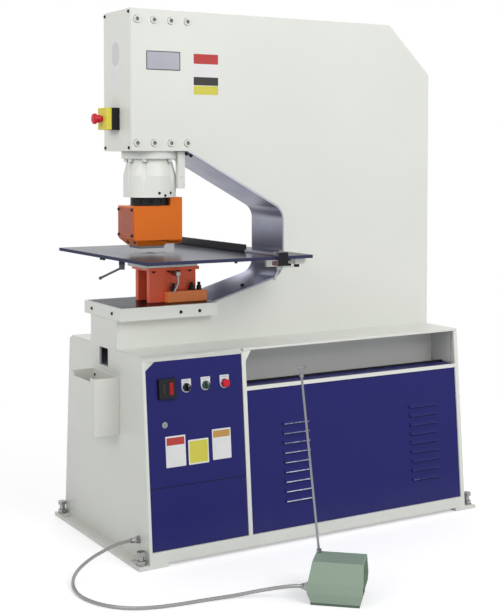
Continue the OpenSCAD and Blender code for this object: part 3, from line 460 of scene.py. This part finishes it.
def turned(bm, profile, place, look=0, steps=40):
    """Adds a turned shape. profile is its (radius, height) points in mm."""
    join(bm, spun(profile, steps), place, look)


def sheet(bm, outline, low, high, place, look=0, soft=0.15):
    """Adds a flat plate: an outline in mm, between two heights in mm over the place."""
    own = bmesh.new()
    face = own.faces.new([own.verts.new((x / 1000, y / 1000, low / 1000)) for x, y in outline])
    raised = bmesh.ops.extrude_face_region(own, geom=[face])["geom"]
    top = [part for part in raised if isinstance(part, bmesh.types.BMFace)]
    bmesh.ops.translate(own, vec=(0, 0, (high - low) / 1000),
                        verts=[part for part in raised if isinstance(part, bmesh.types.BMVert)])
    bmesh.ops.recalc_face_normals(own, faces=own.faces)
    bmesh.ops.bevel(own, geom=list({e for f in top for e in f.edges}), offset=soft / 1000,
                    offset_type="OFFSET", segments=1, profile=0.5, affect="EDGES", material=-1)
    join(bm, own, place, look)


def oblong(width, height, corner, steps=5, y=0.0):
    """The outline of a plate with round corners, centred on x 0 and the height y."""
    outline = []
    for i, (sx, sy) in enumerate(((1, -1), (1, 1), (-1, 1), (-1, -1))):
        for k in range(steps + 1):
            a = math.radians(90 * i - 90 + 90 * k / steps)
            outline.append((sx * (width / 2 - corner) + corner * math.cos(a),
                            y + sy * (height / 2 - corner) + corner * math.sin(a)))
    return outline


def vinyl(name, colour, rough=0.45):
    """Printed film or moulded plastic: an even colour with a faint grain."""
    f = Finish(name)
    slow = f.noise(14, 3)
    shade = [c * 0.93 for c in colour[:3]] + [1]
    return f.surface(Base_Color=f.mix((slow * 1.8 - 0.4).clamp(), colour, shade),
                     Specular_IOR_Level=0.3,
                     Roughness=(slow * 0.16 + (rough - 0.08)).clamp(),
                     Normal=f.bump(f.noise(900, 2), 0.12, 0.00002))


card_white = vinyl("card_white", linear(232, 232, 232))
card_red = vinyl("card_red", linear(188, 66, 64))
card_yellow = vinyl("card_yellow", linear(216, 208, 84))
card_dark = vinyl("card_dark", linear(58, 56, 52))
etched_plate = steel("etched_plate", linear(176, 177, 186), 0.5, (1, 1, 8), metal=0.3)
# dark steel: the colour of the small dark screws and the name plate's border; in the sockets of the
# plated and yellow screws it is painted shade
dark_steel_and_socket_shade = steel("dark_steel_and_socket_shade", linear(70, 70, 72), 0.6, metal=0.3)

bm = bmesh.new()
name_place = on_frame(131, 1748)
rivet = [(0, 0.5), (2.4, 0.5), (2.1, 1.3), (1.2, 1.8), (0, 1.9)]
sheet(bm, oblong(136, 68, 2), 0, 0.8, name_place, 1)
sheet(bm, oblong(130, 62, 1), 0.5, 0.95, name_place, 0)
for x in (-62.5, 62.5):
    for y in (-30, 30):
        turned(bm, rivet, name_place @ Matrix.Translation((x / 1000, y / 1000, 0)), 0, 12)
piece("name_plate", bm, "throat_liner", [etched_plate, dark_steel_and_socket_shade])

bm = bmesh.new()
card_place = on_frame(305, 1704)
sheet(bm, oblong(116, 150, 3), 0, 0.3, card_place, 0, 0.05)
for low, high, look in ((38, 74, 1), (-4, 30, 0), (-40, -10, 3), (-74, -42, 2)):
    sheet(bm, oblong(102, high - low, 1.5, y=(low + high) / 2), 0.2, 0.4, card_place, look, 0.05)
piece("head_card", bm, "head_cover", [card_white, card_red, card_yellow, card_dark])

bm = bmesh.new()
front_place = (Matrix.Translation(at(0, 9.6, 1743.5)) @ Matrix.Rotation(math.radians(-90), 4, "Z")
               @ Matrix.Rotation(math.radians(90), 4, "X"))
sheet(bm, oblong(90, 169, 4), 0, 0.3, front_place, 0, 0.05)
sheet(bm, oblong(66, 88, 32, 8, y=32), 0.2, 0.4, front_place, 1, 0.05)
piece("front_card", bm, "head_cover", [card_white, vinyl("card_grey", linear(214, 212, 214))])


# ---- Emergency stop ----
# A moulded box on the head's cover: black base, yellow lid held by four
# screws, and a red mushroom head on a collar.

estop_y, estop_z = 14, 1540
lid_x = -53              # the lid's outer face
lid_screw = dict(radius=2.6, height=0.8, socket=1.3, deep=0.6, edge=0.3, steps=18)

black_plastic = vinyl("black_plastic", linear(13, 14, 19), 0.42)
yellow_plastic = vinyl("yellow_plastic", linear(226, 214, 74), 0.36)
red_plastic = vinyl("red_plastic", linear(206, 24, 46), 0.25)
softened("estop_base", 1.5, black_plastic)
softened("estop_lid", 2.5, yellow_plastic, segments=3)

bm = bmesh.new()
for y in (estop_y - 31, estop_y + 31):
    for z in (estop_z - 33, estop_z + 33):
        cap_screw(bm, facing((lid_x, y, z), (-1, 0, 0)), **lid_screw)
piece("lid_screws", bm, "estop_base", [yellow_plastic, dark_steel_and_socket_shade])

bm = bmesh.new()
turned(bm, [(0, 0), (11, 0), (11, 44), (14, 44.4), (15, 46), (14.2, 52), (13.4, 57), (17, 58),
            (19.4, 59.4), (20, 61.5), (19.8, 66), (18.6, 69.2), (15.5, 71.2), (10, 71.9), (0, 72)],
       facing((-18, estop_y, estop_z), (-1, 0, 0)), 0, 48)
piece("mushroom_head", bm, "estop_button", red_plastic, instead=True)


# ---- Cylinder nose and ram ----
# An iron casting, fluted to clear its flange screws, closes the cylinder, and
# three set screws lock the rod's bush. The limit switches' box and two plugged
# hose ports are behind it.

set_screws = ((122.5, -96.7, 1271), (146.9, -95.5, 1262), (172.4, -87.4, 1271))
set_screw = dict(radius=5.4, height=1.0, socket=3, deep=0.9, edge=0.3, looks=(0, 0), steps=24)
box_screws = ((216, 1330), (228, 1300))
box_screw = dict(radius=2.8, height=1.2, socket=1.4, deep=0.8, edge=0.4, looks=(1, 0), steps=18)
port_plug = [(0, -8), (5, -8), (5, 0), (8, 0.2), (8, 6), (5.6, 7), (5.6, 11), (3, 12.5), (0, 12.5)]

cast_enamel = paint("cast_enamel", linear(229, 231, 224), 0.4, 1.4)
softened("nose_casting", 1.2, cast_enamel, shortest=2.5, angle=32)
softened("limit_switch_box", 2.0, ivory_enamel)

bm = bmesh.new()
for x, y, z in set_screws:
    cap_screw(bm, facing((x, y, z), (x - ram_x, y, 0)), **set_screw)
for x, z in box_screws:
    cap_screw(bm, facing((x, -88, z), (0, -1, 0)), **box_screw)
piece("nose_set_screws", bm, "black_screws", [blackened, ivory_enamel])

bm = bmesh.new()
for x, y, z in ((238, -84, 1419), (252, -92, 1413)):
    turned(bm, port_plug, facing((x, y, z), (0.35, 0, -1)), 0, 6)
piece("hose_plugs", bm, "black_screws", blackened)

polished_rod = steel("polished_rod", linear(190, 191, 196), 0.14)
tool_steel = steel("tool_steel", linear(120, 119, 122), 0.34)
softened("piston_rod", 0.8, polished_rod, shortest=1)
softened("coupling_nut", 1.0, tool_steel, shortest=1)
softened("punch", 0.4, tool_steel, shortest=0.5)


# ---- Punch guard ----
# A folded and welded steel box, sprayed orange, hangs round the punch under a
# slotted ring. A clear sheet, screwed on, closes its front.

guard_screw = dict(radius=5.5, height=3, socket=2.8, deep=1.6, edge=0.6, looks=(0, 0), steps=24)

orange_enamel = paint("orange_enamel", linear(226, 112, 20), 0.3, 0.5, 0, 0.3)
softened("guard_ring", 0.8, blackened, shortest=1)
softened("stripper_box", 1.6, orange_enamel, shortest=14, angle=25, clamp=False)
softened("stripper_plate", 0.8, tool_steel)

clear = Finish("clear_sheet")
haze = clear.noise(30, 3)
dress(clear.surface(Base_Color=linear(222, 120, 92), Alpha=(haze * 0.16 + 0.3).clamp(),
                    Roughness=(haze * 0.1 + 0.02).clamp(), IOR=1.49), "guard_window")

bm = bmesh.new()
for y in (-45, 14):
    cap_screw(bm, facing((48, y, 1091.5), (-0.72, 0, -0.69)), **guard_screw)
piece("guard_screws", bm, "black_screws", blackened)


# ---- Table ----
# A ground steel plate with a mirror-like face. The carrier holds it on the
# pedestal, and two arms on the frame's sides hold its back end.

table_under = 1037       # height of the plate's underside
arm_under = 1013
carrier_under = 985
arm_screw = dict(radius=10, height=12, socket=5, deep=6, looks=(0, 0))
table_screw = dict(radius=5.5, height=6.5, socket=3, deep=3, looks=(0, 0), steps=24)
front_screw = dict(radius=5.5, height=8, socket=3, deep=4, looks=(0, 0), steps=24)
carrier_screw = dict(radius=6.2, height=6.5, socket=3, deep=4, looks=(0, 0), steps=24)

mirror_steel = steel("mirror_steel", linear(140, 144, 160), 0.2, (0.04, 1, 1), 0.000012, rim=0.42)
softened("table_plate", 0.8, [mirror_steel, steel("edge_steel", linear(64, 66, 92), 0.35)],
         second=lambda face: abs(face.normal.z) < 0.5)
softened("table_carrier", 1.5, ivory_enamel)
softened("table_arms", 1.5, ivory_enamel)
softened("die_holder", 0.8, tool_steel, shortest=1)
softened("die", 0.5, tool_steel, shortest=0.5)
softened("front_lever", 0.5, steel("dull_steel", linear(84, 84, 88), 0.36), shortest=0.5)

bm = bmesh.new()
for side in (-1, 1):
    for y in (325, 270):
        cap_screw(bm, facing((567, side * y, arm_under), (0, 0, -1)), **arm_screw)
    for x in (279, 500):
        cap_screw(bm, facing((x, side * 380, table_under), (0, 0, -1)), **table_screw)
    cap_screw(bm, facing((-60, side * 12, table_under), (0, 0, -1)), **front_screw)
for x in (113, 175, 216, 262):
    for side in (-1, 1):
        cap_screw(bm, facing((x, side * 66, carrier_under), (0, 0, -1)), **carrier_screw)
piece("table_screws", bm, "black_screws", blackened)


# ---- Fence ----
# A black steel angle lies across the table. Its near end is a bright slide
# with a clamp under the table's edge, tightened by a small lever.

slide_screws = ((-389, 1065), (-352, 1058))
slide_screw = dict(radius=6, height=4, socket=3, deep=2.5, edge=0.5, steps=24)
bar_screw = dict(radius=2.6, height=0.7, socket=1.3, deep=0.5, edge=0.2, looks=(1, 1), steps=12)


def clamp_jaw(face):
    """The clamp's dark faces: those under the table, and those round its near edge."""
    under_table, table_edge, table_top = 1.0365, -0.3951, 1.052
    middle = face.calc_center_median()
    return middle.z < under_table or (middle.y < table_edge and middle.z < table_top)


fence_black = steel("fence_black", linear(34, 34, 40), 0.34, (1, 0.1, 1), metal=0.5)
bright_steel = steel("bright_steel", linear(196, 199, 212), 0.24, (1, 0.1, 1), rim=0.4)
softened("fence_bar", 0.6, fence_black)
softened("fence_clamp", 0.8, [bright_steel, fence_black], second=clamp_jaw)
softened("fence_lever", 0.5, zinc_plate, shortest=0.5)

bm = bmesh.new()
for y, z in slide_screws:
    cap_screw(bm, facing((457, y, z), (0, 0, 1)), **slide_screw)
for y in range(-120, 400, 120):
    cap_screw(bm, facing((444, y, 1077), (0, 0, 1)), **bar_screw)
piece("fence_screws", bm, "fence_bar", [zinc_plate, dark_steel_and_socket_shade])


# ---- Pedestal ----
# A welded channel, sprayed red, carries the table over the chute. Two orange
# blocks hold it down with studs and nuts. The lever on its side locks it.

# the pedestal's real red and the feet's real orange, both made lighter to stand in for light in the
# table's shadow: painted light
red_enamel_painted_light = paint("red_enamel_painted_light", linear(255, 112, 76), 0.34, 0.6, 0, 0.3)
foot_enamel_painted_light = paint("foot_enamel_painted_light", linear(255, 150, 84), 0.34, 0.6, 0, 0.3)
softened("pedestal", 1.5, red_enamel_painted_light, shortest=12, clamp=False)
softened("pedestal_feet", 2.0, foot_enamel_painted_light, shortest=12)
softened("side_lever", 0.6, zinc_plate, shortest=0.5)


# ---- Lower jaw ----
# A welded rim stands on the frame's lower jaw and holds the bolster plate. The
# plate's face is ground. Slugs slide down the chute into the box on the end.

liner_screw = dict(radius=7, height=4, socket=3.6, deep=2.6, edge=0.6, looks=(0, 0), steps=24)
slug_screw = dict(radius=5, height=3, socket=2.6, deep=1.6, edge=0.5, looks=(0, 0), steps=24)

softened("bolster_rim", 2.0, ivory_enamel)
bolster_steel = steel("bolster_steel", linear(140, 143, 156), 0.22, (0.05, 1, 1), 0.00001, rim=0.3)
softened("bolster_plate", 0.8, bolster_steel)
dress(belt_ground, "slug_chute")
softened("slug_box", 1.2, ivory_enamel)

bm = bmesh.new()
cap_screw(bm, facing((492, -58, 913.8), (-0.276, 0, 0.961)), **liner_screw)
for y in (-118, 72):
    cap_screw(bm, facing((-61, y, 600), (-1, 0, 0)), **slug_screw)
piece("jaw_screws", bm, "black_screws", blackened)


# ---- Cabinet ----
# Sheet steel, folded and welded, its long sides leaning out towards the
# floor. It stands on two foot plates with a levelling screw at each end.

side_lean = 0.0844                 # mm outwards for each mm down
lid_half, lid_height = 321, 713    # the side's upper edge
gusset = [(-47, -18), (-8, -18), (-8, 18), (-36, 18), (-47, 8)]


def on_slope(x, z):
    """A place on the leaning side: its height runs outwards, its y up the slope."""
    depth = lid_half + (lid_height - z) * side_lean
    upright = math.radians(90) - math.atan(side_lean)
    return Matrix.Translation(at(x, -depth, z)) @ Matrix.Rotation(upright, 4, "X")


def slab(bm, low, high, soft, look=0, place=Matrix.Translation(at(0, 0, 0))):
    """Adds a block between two corners in mm, its edges rounded to soft mm."""
    own = bmesh.new()
    bmesh.ops.create_cube(own, size=1)
    bmesh.ops.scale(own, vec=[(b - a) / 1000 for a, b in zip(low, high)], verts=own.verts)
    bmesh.ops.translate(own, vec=[(b + a) / 2000 for a, b in zip(low, high)], verts=own.verts)
    bmesh.ops.bevel(own, geom=own.edges[:], offset=soft / 1000, offset_type="OFFSET", segments=2,
                    profile=0.5, affect="EDGES", material=-1, clamp_overlap=True)
    join(bm, own, place, look)


# the recess's tray is ivory, given here a darker, greyer ivory than the frame's: painted shade in
# the recess
tray_painted_shade = paint("tray_painted_shade", linear(210, 211, 208), 0.42)
# black strips placed in gaps to stand for the shade in them: painted shade
black_painted_shade = vinyl("black_painted_shade", linear(16, 16, 20), 0.7)
dress(ivory_enamel, "cabinet_shell", "door_surround")
softened("cabinet_lid", 1.0, ivory_enamel)

bm = bmesh.new()
sheet(bm, gusset, -8.4, -5.6, on_slope(0, 682), 0, 0.3)
piece("corner_gusset", bm, "cabinet_shell", ivory_enamel)

softened("side_tray", 0.8, tray_painted_shade)
# a black strip along the recess's floor: painted shade in the slot between the panel's fold and the
# tray
bm = bmesh.new()
slab(bm, (351, -254, 573.5), (1313, -247, 585), 1.2)
piece("tray_shade_strip", bm, "side_tray", black_painted_shade)

softened("foot_plates", 1.5, ivory_enamel)
softened("levelling_bolts", 0.35, zinc_plate, shortest=1.5)


# ---- Side panel and lower panel ----
# Blue sheet panels, pressed with two groups of louvres. The long one's top is
# folded in to make the floor of the recess.

louvre_groups = ((498, 612), (1078, 1214))
louvre_count, louvre_step, lowest_louvre = 9, 35, 148.5

blue = linear(40, 41, 108)
blue_enamel = paint("blue_enamel", blue, 0.34, 0.6, 0.4, 0.12)
dress(blue_enamel, "side_panel")
softened("lower_panel", 0.8, blue_enamel)

# the louvres' lips carry painted highlights: pale glints, strongest low down and on the group near
# the door
lip_glint = Finish("blue_painted_glint")
glint_share = (lip_glint.noise(60, 3) * 1.6 - 0.4 + (0.36 - lip_glint.along("Z")) * 2.2
        - (lip_glint.along("X") * 2.0).clamp()).clamp()
blue_painted_glint = lip_glint.surface(
    Base_Color=lip_glint.mix(glint_share, blue, linear(222, 226, 240)),
    Metallic=glint_share * 0.15, Roughness=glint_share * -0.1 + 0.4, Specular_IOR_Level=0.3,
    Normal=lip_glint.bump(lip_glint.noise(260, 2), 0.15, 0.00006))

bm = bmesh.new()
for x0, x1 in louvre_groups:
    middle, half = (x0 + x1) / 2, (x1 - x0) / 2 - 1.5
    for row in range(louvre_count):
        lip = on_slope(middle, lowest_louvre + louvre_step * row)
        slab(bm, (-half, 0.2, 0.9), (half, 3.8, 2.6), 0.8, 0, lip)
piece("louvre_lips", bm, "side_panel", blue_painted_glint)


# ---- Control door ----
# A blue sheet door on a pin hinge, with the switch, two selectors, a stop button
# and a lock; a black strip in the gap under it is painted shade. Legend plates and
# cards on it are plain.

operators = {"mode_selector": (109, 602), "function_selector": (185, 603), "stop_button": (261, 603)}
legend_arc = [math.radians(180 + 12 * k) for k in range(16)]
legend_outline = [(18.5 * math.cos(a), 18.5 * math.sin(a)) for a in legend_arc]
legend_outline += [(18.5, 27), (17, 28.5), (-17, 28.5), (-18.5, 27)]
legend_ring = [(11.2, -1.6), (15.4, -1.6), (15.4, 0.9), (14.6, 1.9), (13.7, 1.9), (13.7, 0),
               (11.2, 0), (11.2, -1.6)]
knob_profile = [(0, -34), (11, -34), (11, 0.5), (13.3, 1.2), (13.5, 2), (13.5, 8.2), (12.6, 9),
                (0, 9)]
button_profile = [(0, -34), (11, -34), (11, 7.4), (14.2, 7.4), (14.5, 7.9), (14.5, 14.6),
                  (13.7, 16), (12, 16.5), (10, 16.2), (0, 15.6)]
card_margin = 8          # mm by which a coloured field is narrower than its card
door_cards = (           # x, z, width, height, and the field's low edge, high edge and look
    (58, 386.5, 77, 107, 22, 48, 1),
    (147, 376, 80, 86, -38, 38, 2),
    (240, 391.5, 75, 107, 24, 48, 3))

chrome = steel("chrome", linear(150, 152, 156), 0.16, rim=0.3)
card_ochre = vinyl("card_ochre", linear(196, 152, 84))
card_silver = vinyl("card_silver", linear(206, 208, 212))
knob_faces = {"mode_selector": black_plastic,
              "function_selector": vinyl("knob_green", linear(52, 82, 72), 0.35)}
softened("control_door", 0.5, blue_enamel, shortest=9, segments=1)

# a black strip behind the gap under the door: painted shade in the gap
bm = bmesh.new()
slab(bm, (-189, -1.1, -5.6), (189.5, 1.1, -3), 0.4, 0, on_slope(144, 266.8))
piece("door_gap_shade_strip", bm, "door_surround", black_painted_shade)

softened("mains_switch", 1.5, black_plastic)
softened("mains_on_button", 1.2, vinyl("key_black", linear(38, 38, 42), 0.3))
softened("mains_off_button", 1.5, vinyl("key_red", linear(164, 20, 32), 0.3))
softened("door_lock", 0.5, chrome, shortest=0.5)

bm = bmesh.new()
for x, z in operators.values():
    sheet(bm, legend_outline, -1.75, -0.9, on_slope(x, z), 0, 0.2)
    sheet(bm, oblong(30, 7, 1, y=22.5), -1, -0.8, on_slope(x, z), 1, 0.05)
    turned(bm, legend_ring, on_slope(x, z), 2)
piece("legend_plates", bm, "slug_chute", [card_white, card_silver, chrome], body="door")

for name, face in knob_faces.items():
    place = on_slope(*operators[name])
    bm = bmesh.new()
    turned(bm, knob_profile, place)
    slab(bm, (-3.5, -13, 8.5), (3.5, 13, 18.5), 1.2, 0, place)
    slab(bm, (-0.7, 3, 18.3), (0.7, 12, 18.7), 0.1, 1, place)
    piece(name + "_finished", bm, name, [face, card_white], instead=True)

bm = bmesh.new()
turned(bm, button_profile, on_slope(*operators["stop_button"]))
piece("stop_button_finished", bm, "stop_button", red_plastic, instead=True)

bm = bmesh.new()
for x, z, wide, tall, low, high, look in door_cards:
    field = oblong(wide - card_margin, high - low, 1.5, y=(low + high) / 2)
    sheet(bm, oblong(wide, tall, 2.5), -1.75, -1.4, on_slope(x, z), 0, 0.05)
    sheet(bm, field, -1.5, -1.3, on_slope(x, z), look, 0.05)
piece("door_cards", bm, "slug_chute", [card_white, card_red, card_yellow, card_ochre], body="door")


# ---- Hydraulic unit ----
# A welded oil tank behind the side panel carries the valve block and a
# flange-mounted motor, whose fan turns under its cowl.

terminal_face = 1104     # the terminal box's outer face
terminal_screw = dict(radius=3.2, height=1.6, socket=1.6, deep=1, edge=0.4, looks=(1, 1), steps=18)
block_plug = dict(radius=9, height=8, socket=5, deep=4)
sight_glass = [(0, -0.5), (16, -0.5), (16, 2.5), (13, 3.2), (0, 3.2)]

motor_grey = paint("motor_grey", linear(120, 126, 130), 0.4, 1.0, 0)
softened("oil_tank", 1.5, blue_enamel, shortest=20, clamp=False)
softened("motor", 0.8, motor_grey, shortest=3)
dress(black_plastic, "motor_fan")

bm = bmesh.new()
slab(bm, (1066, -238, 380), (terminal_face, -178, 446), 3)
for y, z in ((-230, 388), (-186, 388), (-230, 438), (-186, 438)):
    cap_screw(bm, facing((terminal_face, y, z), (1, 0, 0)), **terminal_screw)
piece("motor_terminal_box", bm, "motor", [motor_grey, dark_steel_and_socket_shade])

bm = bmesh.new()
for x in (815, 845, 875):
    cap_screw(bm, facing((x, -210, 400), (0, 0, 1)), **block_plug)
turned(bm, sight_glass, facing((1225, -290, 210), (0, -1, 0)), 2, 32)
piece("tank_fittings", bm, "levelling_bolts", [zinc_plate, dark_steel_and_socket_shade, card_white])


# ---- Foot switch ----
# A cast hood on a steel base, sprayed in green hammer enamel, with a treadle
# inside. A plated pole with a T handle lets it be lifted about.

hammer_green = paint("hammer_green", linear(150, 170, 152), 0.3, 2.2, 0.15)
base_green = paint("base_green", linear(86, 104, 92), 0.5, 1.0, 0.2)
softened("pedal_hood", 3.0, hammer_green, shortest=12, segments=3, angle=12)
softened("pedal_base", 1.0, base_green)
softened("treadle", 0.8, tool_steel, shortest=1)
softened("pedal_pole", 0.6, chrome, shortest=0.5)
